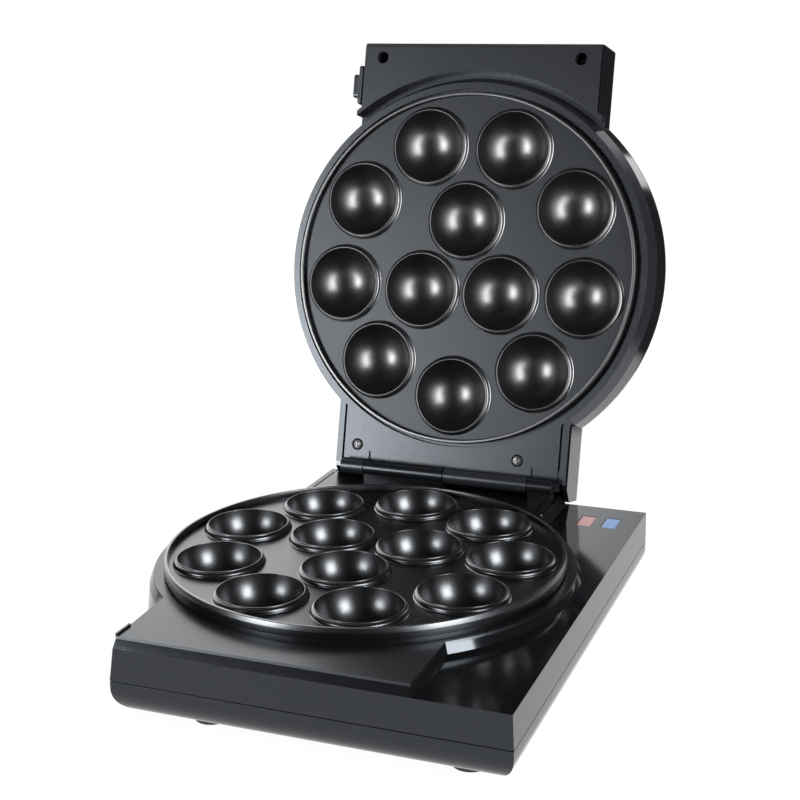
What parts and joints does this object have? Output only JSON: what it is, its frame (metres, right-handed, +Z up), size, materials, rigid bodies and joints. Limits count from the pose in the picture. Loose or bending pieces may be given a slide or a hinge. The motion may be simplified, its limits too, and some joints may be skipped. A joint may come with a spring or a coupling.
{
  "type": "cake pop maker",
  "caption": "Countertop cake pop maker: low base with a round plate of half-ball cups, hinged lid with the matching plate, side latch, tinted lamps and rubber feet",
  "frame": {"origin": "on the ground under the middle of the open machine", "axes": "+X to the right as the cook faces it, +Y to the back where the hinge is, +Z up"},
  "size_m": [0.2072, 0.3087, 0.2639],
  "materials": {
    "coated_plate": "cast aluminium under a dark satin non-stick coating",
    "ceramic": "unglazed ceramic",
    "element_tube": "heat-darkened steel sheath",
    "reflector_sheet": "aluminised steel sheet",
    "screw_steel": "blackened steel",
    "pin_steel": "drawn steel",
    "foot_rubber": "soft black rubber",
    "red_tint": "tinted translucent red",
    "blue_tint": "tinted translucent blue",
    "board": "paper laminate",
    "lamp_glass": "clear lamp envelope",
    "moulding": "heat-proof moulding",
    "clip_steel": "plated spring strip",
    "fuse_can": "drawn can",
    "gland_rubber": "black elastomer",
    "latch_plastic": "black moulding",
    "lid_plastic": "glossy anthracite moulding",
    "base_plastic": "glossy anthracite moulding"
  },
  "bodies": {
    "base": {"base_lower_shell": "base_plastic", "base_upper_shell": "base_plastic", "base_screws": "screw_steel", "foot_front_left": "foot_rubber", "foot_front_right": "foot_rubber", "foot_rear_right": "foot_rubber", "foot_rear_left": "foot_rubber", "hinge_pin": "pin_steel", "thermostat": "moulding", "thermal_fuse": "fuse_can", "fuse_clip": "clip_steel", "terminal_block": "moulding", "cord_gland": "gland_rubber", "red_lens": "red_tint", "blue_lens": "blue_tint", "indicator_board": "board", "indicator_lamps": "lamp_glass", "lower_baking_plate": "coated_plate", "lower_heating_element": "element_tube", "lower_reflector": "reflector_sheet", "lower_element_bushes": "ceramic", "lower_plate_screws": "screw_steel"},
    "lid": {"lid_inner_shell": "lid_plastic", "lid_outer_shell": "lid_plastic", "lid_front_screws": "screw_steel", "lid_rear_screws": "screw_steel", "latch_escutcheon": "latch_plastic", "upper_baking_plate": "coated_plate", "upper_heating_element": "element_tube", "upper_reflector": "reflector_sheet", "upper_element_bushes": "ceramic", "upper_plate_screws": "screw_steel"},
    "latch": {"latch_slide": "latch_plastic"}
  },
  "joints": [
    {"name": "lid_hinge", "type": "hinge", "parent": "base", "child": "lid", "pos_m": [-0.0016, 0.06833, 0.0457], "axis": [1, 0, 0], "range_deg": [0, 103.7]},
    {"name": "latch_slide", "type": "slide", "parent": "lid", "child": "latch", "axis": [0, -0.2368, -0.9715], "range_m": [-0.002, 0.002]}
  ]
}
